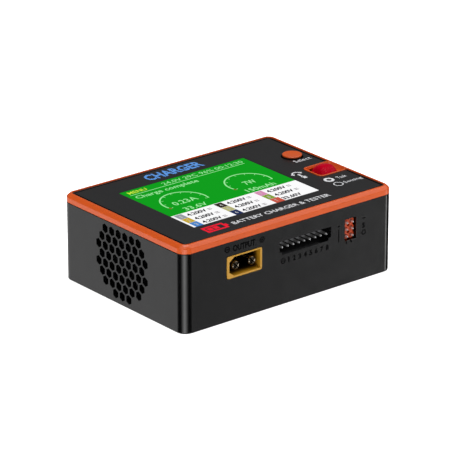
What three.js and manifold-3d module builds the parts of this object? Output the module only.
import * as THREE from 'three';
import { mergeVertices } from 'three/addons/utils/BufferGeometryUtils.js';
import Module from 'manifold-3d';

const wasm = await Module();
wasm.setup();

// A desktop balance charger. Millimetres; X along the front face, Y front to back, Z up,
// origin in the middle of the underside.

// Driving dimensions of the case.
const LENGTH = 94.7;
const DEPTH = 68.0;
const HEIGHT = 32.3;
const CORNER = 3.7;
const WALL = 1.6;
const FLOOR = 1.8;
const GAP = 0.3;
const FOOT_ROUNDING = 0.5;
const CASE_ARC = 3;

const LEFT = -LENGTH / 2;
const RIGHT = LENGTH / 2;
const FRONT = -DEPTH / 2;
const BACK = DEPTH / 2;

// Orange bezel ring round the top, and the dark panel lying inside it.
const SEAM_Z = HEIGHT - 3.0;
const CHAMFER_RISE = 1.1;
const CHAMFER_RUN = 1.4;
const RING_INSET = 1.95;
const LEDGE_INSET = 4.0;
const LEDGE_TOP = HEIGHT - 1.9;
const PANEL_TOP = HEIGHT - 0.3;
const PANEL_BOTTOM = PANEL_TOP - 1.2;
const PANEL_CORNER = 2.0;
const PANEL_LIP = { wide: 0.35, top: HEIGHT - 0.05 };

// Screen: the lit window, the module behind it and its board.
const SCREEN = { x0: -32.5, x1: 24.25, y0: -21.0, y1: 21.1 };
const MODULE_MARGIN = 2.0;
const MODULE_TOP = PANEL_BOTTOM - GAP;
const MODULE_BOTTOM = MODULE_TOP - 3.0;
const DISPLAY_BOARD_TOP = 26.2;
const BOARD_THICK = 1.2;

// Boards lower down.
const MAIN_BOARD_TOP = 15.0;
const MAIN_BOARD_BOTTOM = 13.4;
const MAIN_BOARD = { x0: -33.0, x1: 38.0, y0: -31.5, y1: 31.5 };
const CONTROL_BOARD_TOP = 19.8;
const CONTROL_BOARD = { x0: 31.0, x1: 44.8, y0: -14.5, y1: 16.5 };

// Push button.
const BUTTON = { x: 38.8, y: 11.3, radius: 3.67, top: HEIGHT + 0.6 };

// Press-and-turn roller in its dished surround.
const ROLLER = { x0: 35.8, x1: 42.8, y: -6.2, z: HEIGHT - 3.45, radius: 5.0 };
const SURROUND = { x0: 33.0, x1: 45.7, y0: -11.45, y1: -0.75, corner: 2.0 };
const DISH_RIM = 0.6;
const DISH_SLOPE = 1.2;
const DISH_FLOOR = HEIGHT - 1.1;
const AXLE_RADIUS = 0.6;
const CARRIER_Z = 22.2;
const GUIDE_PINS = [[34.1, -2.0], [43.7, -10.4]];
const GUIDE_RADIUS = 0.7;

// Fan behind the hexagonal grille.
const FAN = { size: 25, y: 0.3, z: 16.1, x0: LEFT + WALL + 0.4, thick: 10, bore: 11.8 };
const HEX = { flat: 3.0, pitch: 3.73, topRow: 26.05, rowPitch: 3.23, y: 0.28 };
const HEX_ROWS = [6, 7, 8, 7, 8, 7, 6, 3];

// Power connectors: the same part on the front (output) and on the back (input).
const POWER = { width: 15.6, height: 8.25, z: 19.9, length: 15, pinPitch: 7.2, pinShift: 0.5 };
const OUTPUT_X = -20.6;
const INPUT_X = 16.0;
const BULLET_RADIUS = 1.75;

// Balance socket and programming header, both at the front.
const BALANCE = { x: 6.65, z: 21.2, width: 23.4, height: 5.0, pins: 9, pitch: 2.5 };
const BALANCE_STEP = { wide: 1.15, tall: 1.0 };
const HEADER = { x: 27.45, z: 20.35, width: 5.3, height: 8.3, pitch: 2.54, recess: 1.3 };
const PIN = 0.64;

// Case fixings.
const SCREW = { x: 41.8, y: 28.4, head: 2.4, shank: 1.1, headTop: 4.2, tip: 29.0 };
const POST_RADIUS = 3.4;
const POST_TOP = 24.7;

const BLACK_CASE = { color: '#2b2b2c', roughness: 0.55, metalness: 0 };
const ORANGE = { color: '#dc6238', roughness: 0.5, metalness: 0 };
const PANEL_DARK = { color: '#2a2a2c', roughness: 0.5, metalness: 0 };
const SCREEN_GLASS = { color: '#12a028', roughness: 0.15, metalness: 0 };
const WHITE_PLASTIC = { color: '#e8e8e4', roughness: 0.5, metalness: 0 };
const CRIMSON = { color: '#b00b2c', roughness: 0.3, metalness: 0 };
const YELLOW = { color: '#d9a52c', roughness: 0.45, metalness: 0 };
const RED_ORANGE = { color: '#c8502e', roughness: 0.45, metalness: 0 };
const BLACK_PLASTIC = { color: '#151516', roughness: 0.45, metalness: 0 };
const GREEN_BOARD = { color: '#1d5a34', roughness: 0.5, metalness: 0 };
const STEEL = { color: '#b9bbbe', roughness: 0.3, metalness: 1 };
const TIN = { color: '#d8d9da', roughness: 0.3, metalness: 1 };
const GOLD = { color: '#d4a94e', roughness: 0.3, metalness: 1 };
const ALUMINIUM = { color: '#b4b7ba', roughness: 0.4, metalness: 1 };
const FERRITE = { color: '#3a3a3d', roughness: 0.6, metalness: 0 };
const SLEEVE = { color: '#1c2036', roughness: 0.4, metalness: 0 };

const charger = new THREE.Group();
charger.name = 'balance_charger';

const UNIT = {
  x: new THREE.Vector3(1, 0, 0),
  y: new THREE.Vector3(0, 1, 0),
  z: new THREE.Vector3(0, 0, 1),
};

// Turns a geometry drawn in two directions and extruded in the third to run along an axis:
// sections across x are drawn as (y, z), across y as (x, z), across z as (x, y).
const ALONG = {
  x: new THREE.Matrix4().makeBasis(UNIT.y, UNIT.z, UNIT.x),
  y: new THREE.Matrix4().makeBasis(UNIT.x, UNIT.z, UNIT.y.clone().negate()),
  z: new THREE.Matrix4(),
};

// Closed body from any three.js geometry, ready for joining and cutting.
function solid(geometry) {
  const bare = new THREE.BufferGeometry();
  bare.setAttribute('position', geometry.getAttribute('position').clone());
  if (geometry.index) bare.setIndex(geometry.index.clone());
  const welded = mergeVertices(bare, 1e-4);
  const corners = welded.index.array;
  const triVerts = [];
  for (let i = 0; i < corners.length; i += 3) {
    const [a, b, c] = [corners[i], corners[i + 1], corners[i + 2]];
    if (a !== b && b !== c && c !== a) triVerts.push(a, b, c);
  }
  return new wasm.Manifold(new wasm.Mesh({
    numProp: 3,
    vertProperties: Float32Array.from(welded.getAttribute('position').array),
    triVerts: Uint32Array.from(triVerts),
  }));
}

function join(first, ...others) {
  return others.reduce((whole, body) => whole.add(body), first);
}

function cut(first, ...others) {
  return others.reduce((whole, body) => whole.subtract(body), first);
}

// Moves a geometry drawn from zero upwards so that it spans from..to along the axis.
function span(geometry, axis, from, to) {
  geometry.applyMatrix4(ALONG[axis]);
  const start = axis === 'y' ? to : from;
  const shift = UNIT[axis].clone().multiplyScalar(start);
  geometry.translate(shift.x, shift.y, shift.z);
  return solid(geometry);
}

function prism(axis, shape, from, to, arcSteps = 1) {
  const geometry = new THREE.ExtrudeGeometry(shape, {
    depth: to - from,
    bevelEnabled: false,
    curveSegments: arcSteps,
  });
  return span(geometry, axis, from, to);
}

// Prism whose two ends are drawn in by `run` over a length of `rise`.
function bevelled(axis, shape, from, to, run, rise, steps = 1, arcSteps = 1) {
  const geometry = new THREE.ExtrudeGeometry(shape, {
    depth: to - from - 2 * rise,
    bevelEnabled: true,
    bevelSize: run,
    bevelThickness: rise,
    bevelOffset: -run,
    bevelSegments: steps,
    curveSegments: arcSteps,
  });
  geometry.translate(0, 0, rise);
  return span(geometry, axis, from, to);
}

function block(x0, x1, y0, y1, z0, z1) {
  const geometry = new THREE.BoxGeometry(x1 - x0, y1 - y0, z1 - z0);
  geometry.translate((x0 + x1) / 2, (y0 + y1) / 2, (z0 + z1) / 2);
  return solid(geometry);
}

// Round bar centred on (u, v) in the plane across the axis.
function rod(axis, u, v, radius, from, to, sides = 12) {
  const geometry = new THREE.CylinderGeometry(radius, radius, to - from, sides);
  geometry.rotateX(Math.PI / 2);
  geometry.translate(u, v, (to - from) / 2);
  return span(geometry, axis, from, to);
}

// Body of revolution about an axis from [radius, distance] pairs that start and end on it.
function turned(axis, u, v, from, profile, sides) {
  const points = profile.map(([radius, distance]) => new THREE.Vector2(radius, distance));
  const geometry = new THREE.LatheGeometry(points, sides);
  geometry.rotateX(Math.PI / 2);
  geometry.translate(u, v, 0);
  return span(geometry, axis, from, from);
}

function polygon(points) {
  return new THREE.Shape(points.map(([u, v]) => new THREE.Vector2(u, v)));
}

function rounded(u0, u1, v0, v1, radius) {
  const shape = new THREE.Shape();
  const quarter = Math.PI / 2;
  shape.moveTo(u0 + radius, v0);
  shape.lineTo(u1 - radius, v0);
  shape.absarc(u1 - radius, v0 + radius, radius, -quarter, 0, false);
  shape.lineTo(u1, v1 - radius);
  shape.absarc(u1 - radius, v1 - radius, radius, 0, quarter, false);
  shape.lineTo(u0 + radius, v1);
  shape.absarc(u0 + radius, v1 - radius, radius, quarter, 2 * quarter, false);
  shape.lineTo(u0, v0 + radius);
  shape.absarc(u0 + radius, v0 + radius, radius, 2 * quarter, 3 * quarter, false);
  return shape;
}

// Rectangle with cut-off corners.
function octagon(u0, u1, v0, v1, clip) {
  return polygon([
    [u0 + clip, v0], [u1 - clip, v0], [u1, v0 + clip], [u1, v1 - clip],
    [u1 - clip, v1], [u0 + clip, v1], [u0, v1 - clip], [u0, v0 + clip],
  ]);
}

function outline(inset, radius) {
  return rounded(LEFT + inset, RIGHT - inset, FRONT + inset, BACK - inset, radius);
}

function part(name, body, look) {
  const mesh = body.getMesh();
  const geometry = new THREE.BufferGeometry();
  geometry.setAttribute('position', new THREE.BufferAttribute(mesh.vertProperties, 3));
  geometry.setIndex(new THREE.BufferAttribute(mesh.triVerts, 1));
  geometry.computeVertexNormals();
  const piece = new THREE.Mesh(geometry, new THREE.MeshStandardMaterial(look));
  piece.name = name;
  charger.add(piece);
}

function corners(x, y) {
  return [[x, y], [-x, y], [-x, -y], [x, -y]];
}

// ---- Case ----------------------------------------------------------------------------

function hexagonHoles() {
  const radius = HEX.flat / Math.sqrt(3);
  const holes = [];
  HEX_ROWS.forEach((count, row) => {
    const z = HEX.topRow - row * HEX.rowPitch;
    for (let k = 0; k < count; k += 1) {
      const y = HEX.y + (k - (count - 1) / 2) * HEX.pitch;
      const rim = [];
      for (let corner = 0; corner < 6; corner += 1) {
        const angle = Math.PI / 2 + corner * Math.PI / 3;
        rim.push([y + radius * Math.cos(angle), z + radius * Math.sin(angle)]);
      }
      holes.push(prism('x', polygon(rim), LEFT - 1, LEFT + WALL + 1));
    }
  });
  return holes;
}

function exhaustSlots() {
  const count = 9;
  const pitch = 4.2;
  const slots = [];
  for (let k = 0; k < count; k += 1) {
    const y = (k - (count - 1) / 2) * pitch;
    slots.push(prism('x', rounded(y - 1, y + 1, 5, 18, 0.95), RIGHT - WALL - 1, RIGHT + 1));
  }
  return slots;
}

// Corner post that takes a case screw, with two webs tying it to the walls.
function casePost(x, y) {
  const sideX = Math.sign(x);
  const sideY = Math.sign(y);
  const wallX = sideX * (RIGHT - WALL / 2);
  const wallY = sideY * (BACK - WALL / 2);
  const webX = block(Math.min(x, wallX), Math.max(x, wallX), y - 0.6, y + 0.6, 1, POST_TOP);
  const webY = block(x - 0.6, x + 0.6, Math.min(y, wallY), Math.max(y, wallY), 1, POST_TOP);
  return join(rod('z', x, y, POST_RADIUS, 1, POST_TOP), webX, webY);
}

function boardPeg(x, y) {
  const seat = rod('z', x, y, 2.4, 1, MAIN_BOARD_BOTTOM - GAP, 8);
  const peg = rod('z', x, y, 0.9, 1, MAIN_BOARD_TOP + 0.8, 8);
  return seat.add(peg);
}

const BOARD_PEGS = [[-30.3, -28.6], [-30.3, 28.2], [34.5, -28.6], [34.5, 28.2]];
const CONTROL_PEGS = [[42.6, 14.3], [42.6, -12.6]];

function lowerCase() {
  const shell = bevelled('z', outline(0, CORNER), 0, 2 * HEIGHT, FOOT_ROUNDING, FOOT_ROUNDING,
    2, CASE_ARC);
  const above = block(LEFT - 1, RIGHT + 1, FRONT - 1, BACK + 1, SEAM_Z - GAP / 2, 3 * HEIGHT);
  const hollow = prism('z', outline(WALL, CORNER - WALL), FLOOR, HEIGHT, 2);
  let body = cut(shell, above, hollow);
  for (const [x, y] of corners(SCREW.x, SCREW.y)) {
    body = body.add(casePost(x, y));
  }
  for (const [x, y] of BOARD_PEGS) {
    body = body.add(boardPeg(x, y));
  }
  for (const [x, y] of CONTROL_PEGS) {
    body = body.add(rod('z', x, y, 1.8, 1, CONTROL_BOARD_TOP - BOARD_THICK - GAP, 8));
    body = body.add(rod('z', x, y, 0.7, 1, CONTROL_BOARD_TOP + 0.6, 8));
  }
  body = body.add(fanRests());
  for (const [x, y] of corners(SCREW.x, SCREW.y)) {
    body = cut(
      body,
      rod('z', x, y, SCREW.head + 0.4, -1, SCREW.headTop + GAP),
      rod('z', x, y, SCREW.shank + 0.4, -1, POST_TOP + 1, 10),
    );
  }
  body = cut(body, ...hexagonHoles(), ...exhaustSlots());
  return cut(body, powerOpening(OUTPUT_X, 'front'), powerOpening(INPUT_X, 'back'),
    balanceOpening(), headerOpening());
}

// Pads under the fan and two uprights behind it.
function fanRests() {
  const rear = FAN.x0 + FAN.thick + GAP;
  const seat = FAN.z - FAN.size / 2 - GAP;
  const half = FAN.size / 2;
  let body = block(FAN.x0 + 1, rear + 1.2, FAN.y - half, FAN.y - half + 5, 1, seat);
  body = body.add(block(FAN.x0 + 1, rear + 1.2, FAN.y + half - 5, FAN.y + half, 1, seat));
  body = body.add(block(rear, rear + 1.2, FAN.y - half, FAN.y - half + 3, 1, FAN.z - 3.2));
  return body.add(block(rear, rear + 1.2, FAN.y + half - 3, FAN.y + half, 1, FAN.z - 3.2));
}

function powerOpening(x, side) {
  const from = side === 'front' ? FRONT - 1 : BACK - WALL - 1;
  const half = POWER.width / 2 + GAP;
  const rise = POWER.height / 2 + GAP;
  const shape = rounded(x - half, x + half, POWER.z - rise, POWER.z + rise, 0.8);
  return prism('y', shape, from, from + WALL + 2);
}

function balanceOpening() {
  return prism('y', balanceOutline(), FRONT - 1, FRONT + WALL + 1);
}

// Mouth of the balance socket: a rectangle whose two lower corners are filled by steps.
function balanceOutline() {
  const left = BALANCE.x - BALANCE.width / 2;
  const right = BALANCE.x + BALANCE.width / 2;
  const low = BALANCE.z - BALANCE.height / 2;
  const high = BALANCE.z + BALANCE.height / 2;
  const shelf = low + BALANCE_STEP.tall;
  return polygon([
    [left, shelf], [left + BALANCE_STEP.wide, shelf], [left + BALANCE_STEP.wide, low],
    [right - BALANCE_STEP.wide, low], [right - BALANCE_STEP.wide, shelf], [right, shelf],
    [right, high], [left, high],
  ]);
}

function headerOpening() {
  const half = HEADER.width / 2;
  const rise = HEADER.height / 2;
  return block(HEADER.x - half, HEADER.x + half, FRONT - 1, FRONT + WALL + 1,
    HEADER.z - rise, HEADER.z + rise);
}

// ---- Top: bezel ring, panel and screen -------------------------------------------------

function rollerSurround() {
  const s = SURROUND;
  const plate = prism('z', rounded(s.x0, s.x1, s.y0, s.y1, s.corner), LEDGE_TOP, HEIGHT, 2);
  const rim = rounded(s.x0 + DISH_RIM, RIGHT - RING_INSET, s.y0 + DISH_RIM, s.y1 - DISH_RIM,
    s.corner - DISH_RIM);
  const deep = HEIGHT - DISH_FLOOR;
  const dish = bevelled('z', rim, DISH_FLOOR, DISH_FLOOR + 4 * deep, DISH_SLOPE, deep, 1, 2);
  const slot = rod('x', ROLLER.y, ROLLER.z, ROLLER.radius + 0.25,
    ROLLER.x0 - GAP, ROLLER.x1 + GAP, 32);
  let body = cut(plate, dish, slot);
  for (const [x, y] of GUIDE_PINS) {
    body = body.add(rod('z', x, y, GUIDE_RADIUS, CARRIER_Z - 1.2, LEDGE_TOP + 0.2, 12));
  }
  return body;
}

// Clearance in the ledge for the roller bracket's right arm and the end of the axle.
function bearingPocket() {
  const reach = 2.6;
  return block(RIGHT - LEDGE_INSET - 1, ARM_RIGHT + ARM_THICK + 0.6, ROLLER.y - reach,
    ROLLER.y + reach, SEAM_Z - 1, LEDGE_TOP);
}

function topBezel() {
  const crown = bevelled('z', outline(0, CORNER), -HEIGHT, HEIGHT, CHAMFER_RUN, CHAMFER_RISE,
    1, CASE_ARC);
  const below = block(LEFT - 1, RIGHT + 1, FRONT - 1, BACK + 1, -2 * HEIGHT, SEAM_Z + GAP / 2);
  const opening = prism('z', outline(RING_INSET, PANEL_CORNER), LEDGE_TOP, HEIGHT + 1, 2);
  const middle = prism('z', outline(LEDGE_INSET, 1.0), SEAM_Z - 1, HEIGHT);
  let body = cut(crown, below, opening, middle);
  for (const [x, y] of corners(SCREW.x, SCREW.y)) {
    body = body.add(rod('z', x, y, 3.0, POST_TOP + GAP, LEDGE_TOP));
  }
  body = body.subtract(bearingPocket()).add(rollerSurround());
  for (const [x, y] of corners(SCREW.x, SCREW.y)) {
    body = body.subtract(rod('z', x, y, SCREW.shank + GAP, POST_TOP, SCREW.tip + 0.4, 10));
  }
  return body;
}

// Flat sheet with a low raised lip all round, cut away for the screen, button and surround.
function topPanel() {
  const inset = RING_INSET + GAP;
  const lip = PANEL_LIP.wide;
  const edge = outline(inset, PANEL_CORNER - GAP);
  const field = outline(inset + lip, PANEL_CORNER - GAP - lip);
  const sheet = prism('z', edge, PANEL_BOTTOM, PANEL_LIP.top, 2)
    .subtract(prism('z', field, PANEL_TOP, HEIGHT + 1, 2));
  const s = SURROUND;
  const notch = rounded(s.x0 - GAP, RIGHT, s.y0 - GAP, s.y1 + GAP, s.corner + GAP);
  return cut(
    sheet,
    block(SCREEN.x0 - GAP, SCREEN.x1 + GAP, SCREEN.y0 - GAP, SCREEN.y1 + GAP, 0, 2 * HEIGHT),
    rod('z', BUTTON.x, BUTTON.y, BUTTON.radius + GAP, 0, 2 * HEIGHT, 24),
    prism('z', notch, 0, 2 * HEIGHT, 2),
  );
}

function screenGlass() {
  const shape = rounded(SCREEN.x0, SCREEN.x1, SCREEN.y0, SCREEN.y1, 0.3);
  return bevelled('z', shape, PANEL_BOTTOM + 0.1, PANEL_TOP - 0.05, 0.08, 0.08);
}

function screenModule() {
  const m = MODULE_MARGIN;
  const shape = rounded(SCREEN.x0 - m, SCREEN.x1 + m, SCREEN.y0 - m, SCREEN.y1 + m, 0.8);
  const frame = bevelled('z', shape, MODULE_BOTTOM, MODULE_TOP, 0.3, 0.3);
  const pocket = block(SCREEN.x0 - 0.4, SCREEN.x1 + 0.4, SCREEN.y0 - 0.4, SCREEN.y1 + 0.4,
    MODULE_TOP - 0.5, HEIGHT);
  return frame.subtract(pocket);
}

// ---- Boards --------------------------------------------------------------------------

function board(area, top, thick, clip) {
  return prism('z', octagon(area.x0, area.x1, area.y0, area.y1, clip), top - thick, top);
}

function displayBoard() {
  const area = { x0: SCREEN.x0 - 1.8, x1: 30.5, y0: -25.4, y1: 24.6 };
  return board(area, DISPLAY_BOARD_TOP, BOARD_THICK, 1);
}

function mainBoard() {
  let body = board(MAIN_BOARD, MAIN_BOARD_TOP, MAIN_BOARD_TOP - MAIN_BOARD_BOTTOM, 1.5);
  for (const [x, y] of BOARD_PEGS) {
    body = body.subtract(rod('z', x, y, 0.9 + GAP, 0, HEIGHT, 10));
  }
  return body;
}

function controlBoard() {
  let body = board(CONTROL_BOARD, CONTROL_BOARD_TOP, BOARD_THICK, 1);
  for (const [x, y] of CONTROL_PEGS) {
    body = body.subtract(rod('z', x, y, 0.7 + GAP, 0, HEIGHT, 10));
  }
  return body;
}

// Block of sockets that joins two boards, notched along one side.
function boardLink(x0, x1, y0, y1, z0, z1) {
  let body = bevelled('z', octagon(x0, x1, y0, y1, 0.4), z0, z1, 0.2, 0.2);
  for (let x = x0 + HEADER.pitch; x < x1 - 1; x += HEADER.pitch) {
    body = body.subtract(block(x - 0.3, x + 0.3, y0 - 1, y0 + 0.35, z0 - 1, z1 + 1));
  }
  return body;
}

// ---- Controls ------------------------------------------------------------------------

function buttonCap() {
  const stemEnd = CONTROL_BOARD_TOP + 3.5;
  const flange = PANEL_BOTTOM - GAP;
  const radius = BUTTON.radius;
  const profile = [
    [0, stemEnd], [1.6, stemEnd], [1.6, flange - 0.9], [radius + 0.9, flange - 0.9],
    [radius + 0.9, flange], [radius, flange], [radius, BUTTON.top - 0.35],
    [radius - 0.35, BUTTON.top], [0, BUTTON.top],
  ];
  return turned('z', BUTTON.x, BUTTON.y, 0, profile, 24);
}

function switchBody(x, y, height, pit) {
  const base = CONTROL_BOARD_TOP + GAP;
  const top = CONTROL_BOARD_TOP + height;
  const shape = octagon(x - 3, x + 3, y - 3, y + 3, 0.5);
  const well = rod('z', x, y, 2.0, top - pit, HEIGHT);
  return bevelled('z', shape, base, top, 0.25, 0.25).subtract(well);
}

function switchPlunger(x, y, from, to) {
  const profile = [[0, from], [1.7, from], [1.7, to - 0.2], [1.5, to], [0, to]];
  return turned('z', x, y, 0, profile, 12);
}

// Wheel with rounded shoulders, bored for its axle.
function rollerWheel() {
  const width = ROLLER.x1 - ROLLER.x0;
  const edge = 0.7;
  const bore = AXLE_RADIUS + GAP;
  const profile = [
    [bore, 0], [ROLLER.radius - edge, 0],
    [ROLLER.radius - 0.3 * edge, 0.3 * edge], [ROLLER.radius, edge],
    [ROLLER.radius, width - edge], [ROLLER.radius - 0.3 * edge, width - 0.3 * edge],
    [ROLLER.radius - edge, width], [bore, width], [bore, 0],
  ];
  return turned('x', ROLLER.y, ROLLER.z, ROLLER.x0, profile, 28);
}

const ARM_THICK = 0.8;
const ARM_LEFT = ROLLER.x0 - 0.5 - ARM_THICK;
const ARM_RIGHT = ROLLER.x1 + 0.5;

// U-shaped bracket under the roller: a base plate that slides on two pins, and two arms.
function rollerCarrier() {
  const y0 = ROLLER.y - 2.2;
  const y1 = ROLLER.y + 2.2;
  const top = LEDGE_TOP - GAP;
  const leftArm = octagon(y0, y1, CARRIER_Z - 3, top, 1.2);
  const arms = join(
    prism('x', leftArm, ARM_LEFT, ARM_LEFT + ARM_THICK),
    prism('x', leftArm, ARM_RIGHT, ARM_RIGHT + ARM_THICK),
  );
  const trimmed = arms.subtract(block(30, 46, -15, 5, CARRIER_Z - 5, CARRIER_Z));
  const plate = prism('z', octagon(32.4, 45.1, -11.8, -0.6, 1.0), CARRIER_Z, CARRIER_Z + 0.8);
  let body = plate.add(trimmed);
  body = body.subtract(rod('x', ROLLER.y, ROLLER.z, AXLE_RADIUS + GAP, 30, 46, 10));
  for (const [x, y] of GUIDE_PINS) {
    body = body.subtract(rod('z', x, y, GUIDE_RADIUS + GAP, 0, HEIGHT, 12));
  }
  return body;
}

function rollerAxle() {
  const from = ARM_LEFT - 2.2;
  const length = ARM_RIGHT + ARM_THICK + 0.2 - from;
  const r = AXLE_RADIUS;
  const profile = [
    [0, 0], [r - 0.15, 0], [r, 0.15], [r, length - 0.15], [r - 0.15, length], [0, length],
  ];
  return turned('x', ROLLER.y, ROLLER.z, from, profile, 12);
}

function encoderBody() {
  const x1 = ARM_LEFT - GAP;
  const x0 = x1 - 2.4;
  const shape = octagon(ROLLER.y - 3, ROLLER.y + 3, CARRIER_Z + 1.4, LEDGE_TOP - 0.25, 0.7);
  const bore = rod('x', ROLLER.y, ROLLER.z, AXLE_RADIUS + GAP, x0 - 1, x1 + 1, 10);
  return prism('x', shape, x0, x1).subtract(bore);
}

// ---- Fan -----------------------------------------------------------------------------

const HUB = { radius: 6.0, wall: 0.9, blades: 7 };
const FAN_REAR = FAN.x0 + FAN.thick;

function fanFrame() {
  const half = FAN.size / 2;
  const square = rounded(FAN.y - half, FAN.y + half, FAN.z - half, FAN.z + half, 1.5);
  let body = prism('x', square, FAN.x0, FAN_REAR);
  body = body.subtract(rod('x', FAN.y, FAN.z, FAN.bore, FAN.x0 - 1, FAN_REAR + 1, 28));
  for (const [dy, dz] of corners(half - 2.4, half - 2.4)) {
    body = body.subtract(
      rod('x', FAN.y + dy, FAN.z + dz, 1.2, FAN.x0 - 1, FAN_REAR + 1, 8));
  }
  const plate = FAN_REAR - 1.2;
  for (let k = 0; k < 4; k += 1) {
    const geometry = new THREE.BoxGeometry(1.2, FAN.bore + 0.6, 1.4);
    geometry.translate(plate + 0.6, (FAN.bore + 0.6) / 2, 0);
    geometry.rotateX(Math.PI / 4 + k * Math.PI / 2);
    geometry.translate(0, FAN.y, FAN.z);
    body = body.add(solid(geometry));
  }
  body = body.add(rod('x', FAN.y, FAN.z, HUB.radius - 0.4, plate, FAN_REAR, 16));
  body = body.add(rod('x', FAN.y, FAN.z, 2.4, FAN.x0 + 3, plate + 0.2));
  return body.subtract(rod('x', FAN.y, FAN.z, 1.1, FAN.x0, FAN_REAR - 0.5, 10));
}

// Cup-shaped hub with seven pitched blades.
function fanRotor() {
  const x0 = FAN.x0 + 0.8;
  const x1 = FAN_REAR - 1.2 - 0.6;
  const cup = rod('x', FAN.y, FAN.z, HUB.radius, x0, x1, 20);
  const hollow = rod('x', FAN.y, FAN.z, HUB.radius - HUB.wall, x0 + 1, x1 + 1, 20);
  const inner = HUB.radius - 0.5;
  const outer = FAN.bore - 0.6;
  let body = cup;
  for (let k = 0; k < HUB.blades; k += 1) {
    const geometry = new THREE.BoxGeometry(7.6, outer - inner, 0.8);
    geometry.rotateY(Math.PI * 0.22);
    geometry.translate((x0 + x1) / 2, (outer + inner) / 2, 0);
    geometry.rotateX(k * 2 * Math.PI / HUB.blades);
    geometry.translate(0, FAN.y, FAN.z);
    body = body.add(solid(geometry));
  }
  body = body.subtract(hollow);
  return body.subtract(rod('x', FAN.y, FAN.z, 1.0, x0 - 1, x1, 10));
}

function fanShaft() {
  const from = FAN.x0 + 1.0;
  const length = FAN.thick - 2.2;
  const profile = [[0, 0], [0.6, 0], [0.7, 0.1], [0.7, length - 0.1], [0.6, length], [0, length]];
  return turned('x', FAN.y, FAN.z, from, profile, 12);
}

// ---- Power electronics -----------------------------------------------------------------

const SINK = { x0: -28, x1: 20, y0: -15.5, y1: 15.5, z0: 3.0, top: 10.2 };

function heatsink() {
  let body = block(SINK.x0, SINK.x1, SINK.y0, SINK.y1, SINK.top - 2, SINK.top);
  const fins = 9;
  const pitch = (SINK.y1 - SINK.y0 - 1.2) / (fins - 1);
  for (let k = 0; k < fins; k += 1) {
    const y = SINK.y0 + k * pitch;
    body = body.add(block(SINK.x0, SINK.x1, y, y + 1.2, SINK.z0, SINK.top - 1));
  }
  return body;
}

// Flat power transistor lying between the heatsink and the board.
function transistor(x, y) {
  const bottom = SINK.top + GAP;
  const top = MAIN_BOARD_BOTTOM - GAP;
  const bodyShape = octagon(x - 5, x + 5, y - 4.4, y + 4.4, 0.4);
  let body = bevelled('z', bodyShape, bottom + 0.4, top, 0.35, 0.35);
  body = body.add(block(x - 4.6, x + 4.6, y - 5.6, y + 4, bottom, bottom + 1.2));
  for (const shift of [-2.54, 0, 2.54]) {
    body = body.add(block(x + shift - 0.4, x + shift + 0.4, y + 4, y + 7.4, top - 0.8, top - 0.1));
  }
  return body;
}

// Moulded choke with its two end terminals.
function choke(x, y) {
  const z0 = MAIN_BOARD_TOP + GAP;
  const shape = octagon(x - 6, x + 6, y - 6, y + 6, 1.4);
  const moulding = bevelled('z', shape, z0 + 0.2, z0 + 6.4, 0.4, 0.4);
  const terminals = block(x - 6.5, x + 6.5, y - 1.8, y + 1.8, z0, z0 + 1.6);
  return moulding.add(terminals);
}

// Electrolytic capacitor with a crimped neck and a rolled top edge.
function capacitor(x, y) {
  const z0 = MAIN_BOARD_TOP + GAP;
  const height = 8.6;
  const profile = [
    [0, 0], [3.6, 0], [4, 0.3], [4, 1.1], [3.7, 1.4], [4, 1.7], [4, height - 0.4],
    [3.7, height], [3.1, height], [3.0, height - 0.25], [0, height - 0.25],
  ];
  return turned('z', x, y, z0, profile, 16);
}

function controllerChip(x, y) {
  const z0 = MAIN_BOARD_TOP + GAP;
  const shape = octagon(x - 5, x + 5, y - 5, y + 5, 0.3);
  let body = bevelled('z', shape, z0, z0 + 1.4, 0.25, 0.3);
  body = body.subtract(rod('z', x - 3.8, y + 3.8, 0.5, z0 + 1.25, z0 + 2, 10));
  for (let k = -3; k <= 3; k += 1.5) {
    body = body.add(block(x - 5.9, x + 5.9, y + k - 0.3, y + k + 0.3, z0 + 0.3, z0 + 0.6));
    body = body.add(block(x + k - 0.3, x + k + 0.3, y - 5.9, y + 5.9, z0 + 0.3, z0 + 0.6));
  }
  return body;
}

function buzzer(x, y) {
  const z0 = MAIN_BOARD_TOP + GAP;
  const profile = [
    [0, 0], [4.4, 0], [4.5, 0.2], [4.5, 5.0], [4.2, 5.3], [0.9, 5.3], [0.9, 4.3], [0, 4.3],
  ];
  return turned('z', x, y, z0, profile, 16);
}

// ---- Connectors ------------------------------------------------------------------------

// Where a connector mouth lies: `at` is the case face, `inward` points into the case.
const SIDES = {
  front: { at: FRONT, inward: 1 },
  back: { at: BACK, inward: -1 },
};

// Distance `deep` behind the face as a Y coordinate.
function behind(side, deep) {
  return SIDES[side].at + SIDES[side].inward * deep;
}

function between(axis, side, shape, from, to) {
  const ends = [behind(side, from), behind(side, to)];
  return prism(axis, shape, Math.min(...ends), Math.max(...ends));
}

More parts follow.
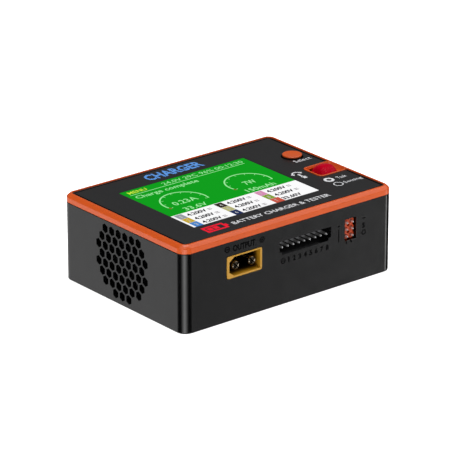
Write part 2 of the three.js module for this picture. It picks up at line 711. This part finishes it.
// Keyed shell: one end of its mouth has cut-off corners, so a plug fits only one way round.
function powerShell(x, side) {
  const inward = SIDES[side].inward;
  const half = POWER.width / 2;
  const rise = POWER.height / 2;
  const z = POWER.z;
  const shell = between('y', side, rounded(x - half, x + half, z - rise, z + rise, 0.5),
    0, POWER.length);
  const keyed = x - inward * (half - 1.1);
  const square = x + inward * (half - 0.8);
  const low = z - rise + 0.7;
  const high = z + rise - 0.65;
  const clip = 1.6;
  const step = inward * 2.2;
  const mouth = polygon([
    [keyed, low + clip], [keyed + step, low], [square, low], [square, high],
    [keyed + step, high], [keyed, high - clip],
  ]);
  let body = shell.subtract(between('y', side, mouth, -1, 9));
  for (const pinX of powerPinCentres(x, side)) {
    const bore = BULLET_RADIUS + GAP;
    const ends = [behind(side, 8), behind(side, POWER.length + 1)];
    body = body.subtract(rod('y', pinX, z - 0.3, bore, Math.min(...ends), Math.max(...ends)));
  }
  return body;
}

function powerPinCentres(x, side) {
  const inward = SIDES[side].inward;
  const centre = x + inward * POWER.pinShift;
  return [centre - inward * POWER.pinPitch / 2, centre + inward * POWER.pinPitch / 2];
}

// Bullet contact with a hollow tip split into four springs.
function bulletPin(x, side) {
  const z = POWER.z - 0.3;
  const tip = 0.6;
  const tail = POWER.length + 2.2;
  const inward = SIDES[side].inward;
  const r = BULLET_RADIUS;
  const profile = [
    [0, tail], [r - 0.3, tail], [r - 0.3, 8.4], [r, 8.2], [r, tip + 0.7], [r - 0.4, tip],
    [0.85, tip], [0.85, tip + 4.5], [0, tip + 4.5],
  ];
  const points = inward < 0 ? profile.map(([a, b]) => [a, BACK - b]) :
    profile.map(([a, b]) => [a, FRONT + b]);
  let body = alongY(x, z, inward < 0 ? points : points.reverse());
  const slotEnds = [behind(side, tip - 1), behind(side, tip + 5)];
  const [y0, y1] = [Math.min(...slotEnds), Math.max(...slotEnds)];
  const reach = r + 1;
  for (const turn of [Math.PI / 4, -Math.PI / 4]) {
    const geometry = new THREE.BoxGeometry(2 * reach, y1 - y0, 0.4);
    geometry.rotateY(turn);
    geometry.translate(x, (y0 + y1) / 2, z);
    body = body.subtract(solid(geometry));
  }
  return body;
}

// Turned body about a line parallel to Y from [radius, y] pairs given in rising y order.
function alongY(x, z, pairs) {
  const points = pairs.map(([radius, y]) => new THREE.Vector2(radius, y));
  const geometry = new THREE.LatheGeometry(points, 12);
  geometry.translate(x, 0, z);
  return solid(geometry);
}

const BALANCE_DEEP = WALL + GAP;
const BALANCE_CAVITY = 7.5;

function balancePinCentres() {
  const middle = (BALANCE.pins - 1) / 2;
  return Array.from({ length: BALANCE.pins }, (_, k) => BALANCE.x + (k - middle) * BALANCE.pitch);
}

function balanceShell() {
  const half = BALANCE.width / 2;
  const rise = BALANCE.height / 2;
  const y0 = FRONT + BALANCE_DEEP;
  const y1 = FRONT + BALANCE_CAVITY + 2;
  const outer = rounded(BALANCE.x - half - 0.8, BALANCE.x + half + 0.8,
    BALANCE.z - rise - 0.8, BALANCE.z + rise + 0.8, 0.3);
  let body = prism('y', outer, y0, y1);
  body = body.subtract(prism('y', balanceOutline(), y0 - 1, FRONT + BALANCE_CAVITY));
  for (const x of [BALANCE.x - half + 2.2, BALANCE.x + half - 2.2]) {
    body = body.subtract(block(x - 0.8, x + 0.8, y0 - 1, y0 + 4, BALANCE.z, BALANCE.z + rise + 2));
  }
  const hole = PIN / 2 + GAP;
  for (const x of balancePinCentres()) {
    body = body.subtract(block(x - hole, x + hole, y0, y1 + 1, BALANCE.z - hole, BALANCE.z + hole));
  }
  return body;
}

// Square wire that comes forward at height z and turns down through the board behind.
function bentPin(x, z, tipY, bendY) {
  const h = PIN / 2;
  const point = 0.5;
  const foot = MAIN_BOARD_TOP + GAP;
  const shape = polygon([
    [tipY, z - 0.4 * h], [tipY + point, z - h], [bendY - h, z - h], [bendY - h, foot],
    [bendY + h, foot], [bendY + h, z + h - 0.3], [bendY + h - 0.3, z + h],
    [tipY + point, z + h], [tipY, z + 0.4 * h],
  ]);
  return prism('x', shape, x - h, x + h);
}

function headerShell() {
  const half = HEADER.pitch;
  const rise = 1.5 * HEADER.pitch;
  const y0 = FRONT + HEADER.recess;
  const y1 = y0 + 5.5;
  let body = block(HEADER.x - half, HEADER.x + half, y0, y1, HEADER.z - rise, HEADER.z + rise);
  const notch = 0.55;
  for (const column of [-1, 0, 1]) {
    for (const row of [-1.5, -0.5, 0.5, 1.5]) {
      const x = HEADER.x + column * HEADER.pitch;
      const z = HEADER.z + row * HEADER.pitch;
      const diamond = polygon([[x - notch, z], [x, z - notch], [x + notch, z], [x, z + notch]]);
      body = body.subtract(prism('y', diamond, y0 - 1, y1 + 1));
    }
  }
  const hole = PIN / 2 + GAP;
  for (const [x, z] of headerPinCentres()) {
    body = body.subtract(block(x - hole, x + hole, y0 - 1, y1 + 1, z - hole, z + hole));
  }
  return body;
}

function headerPinCentres() {
  const centres = [];
  for (const row of [1, 0, -1]) {
    for (const column of [-0.5, 0.5]) {
      centres.push([HEADER.x + column * HEADER.pitch, HEADER.z + row * HEADER.pitch]);
    }
  }
  return centres;
}

// ---- Screws --------------------------------------------------------------------------

function caseScrew(x, y) {
  const headBottom = SCREW.headTop - 1.6;
  const profile = [
    [0, headBottom], [SCREW.head - 0.3, headBottom], [SCREW.head, headBottom + 0.3],
    [SCREW.head, SCREW.headTop], [SCREW.shank, SCREW.headTop],
    [SCREW.shank, SCREW.tip - 1], [0.3, SCREW.tip], [0, SCREW.tip],
  ];
  const body = turned('z', x, y, 0, profile, 12);
  return cut(
    body,
    block(x - 1.3, x + 1.3, y - 0.25, y + 0.25, headBottom - 1, headBottom + 1),
    block(x - 0.25, x + 0.25, y - 1.3, y + 1.3, headBottom - 1, headBottom + 1),
  );
}

// ---- Assembly ------------------------------------------------------------------------

part('lower_case', lowerCase(), BLACK_CASE);
part('top_bezel', topBezel(), ORANGE);
part('top_panel', topPanel(), PANEL_DARK);
part('screen_glass', screenGlass(), SCREEN_GLASS);
part('screen_module', screenModule(), WHITE_PLASTIC);

part('button_cap', buttonCap(), ORANGE);
part('button_switch', switchBody(BUTTON.x, BUTTON.y, 2.8, 1.6), BLACK_PLASTIC);
part('button_plunger', switchPlunger(BUTTON.x, BUTTON.y, CONTROL_BOARD_TOP + 2.0,
  CONTROL_BOARD_TOP + 3.2), BLACK_PLASTIC);

const rollerMiddle = (ROLLER.x0 + ROLLER.x1) / 2;
part('roller_wheel', rollerWheel(), CRIMSON);
part('roller_axle', rollerAxle(), STEEL);
part('roller_carrier', rollerCarrier(), STEEL);
part('roller_encoder', encoderBody(), BLACK_PLASTIC);
part('roller_switch', switchBody(rollerMiddle, ROLLER.y, 1.8, 1.1), BLACK_PLASTIC);
part('roller_plunger', switchPlunger(rollerMiddle, ROLLER.y, CONTROL_BOARD_TOP + 1.3,
  CONTROL_BOARD_TOP + 2.1), BLACK_PLASTIC);

part('display_board', displayBoard(), GREEN_BOARD);
part('main_board', mainBoard(), GREEN_BOARD);
part('control_board', controlBoard(), GREEN_BOARD);
part('display_link', boardLink(-15.5, 4.8, 21.4, 24.2, MAIN_BOARD_TOP + GAP,
  DISPLAY_BOARD_TOP - BOARD_THICK - GAP), BLACK_PLASTIC);
part('control_link', boardLink(32.2, 37.4, -13.6, -10.9, MAIN_BOARD_TOP + GAP,
  CONTROL_BOARD_TOP - BOARD_THICK - GAP), BLACK_PLASTIC);

part('fan_frame', fanFrame(), BLACK_PLASTIC);
part('fan_rotor', fanRotor(), BLACK_PLASTIC);
part('fan_shaft', fanShaft(), STEEL);

part('heatsink', heatsink(), ALUMINIUM);
[[-21, -8], [-21, 8], [-7, -8], [-7, 8]].forEach(([x, y], k) => {
  part(`transistor_${k + 1}`, transistor(x, y - 1), BLACK_PLASTIC);
});
part('choke_1', choke(-24, 2), FERRITE);
part('choke_2', choke(-8, 2), FERRITE);
[[-26, 16], [-16.5, 16]].forEach(([x, y], k) => {
  part(`capacitor_${k + 1}`, capacitor(x, y), SLEEVE);
});
part('controller_chip', controllerChip(10, 1), BLACK_PLASTIC);
part('buzzer', buzzer(26, -2), BLACK_PLASTIC);

part('output_shell', powerShell(OUTPUT_X, 'front'), YELLOW);
part('input_shell', powerShell(INPUT_X, 'back'), YELLOW);
powerPinCentres(OUTPUT_X, 'front').forEach((x, k) => {
  part(`output_pin_${k + 1}`, bulletPin(x, 'front'), GOLD);
});
powerPinCentres(INPUT_X, 'back').forEach((x, k) => {
  part(`input_pin_${k + 1}`, bulletPin(x, 'back'), GOLD);
});

part('balance_shell', balanceShell(), BLACK_PLASTIC);
balancePinCentres().forEach((x, k) => {
  part(`balance_pin_${k + 1}`, bentPin(x, BALANCE.z, FRONT + 0.4, FRONT + 12), TIN);
});

part('header_shell', headerShell(), RED_ORANGE);
headerPinCentres().forEach(([x, z], k) => {
  const row = Math.floor(k / 2);
  const bend = FRONT + 12.5 - row * 2;
  part(`header_pin_${k + 1}`, bentPin(x, z, FRONT + 0.1, bend), TIN);
});

corners(SCREW.x, SCREW.y).forEach(([x, y], k) => {
  part(`case_screw_${k + 1}`, caseScrew(x, y), STEEL);
});

export default charger;
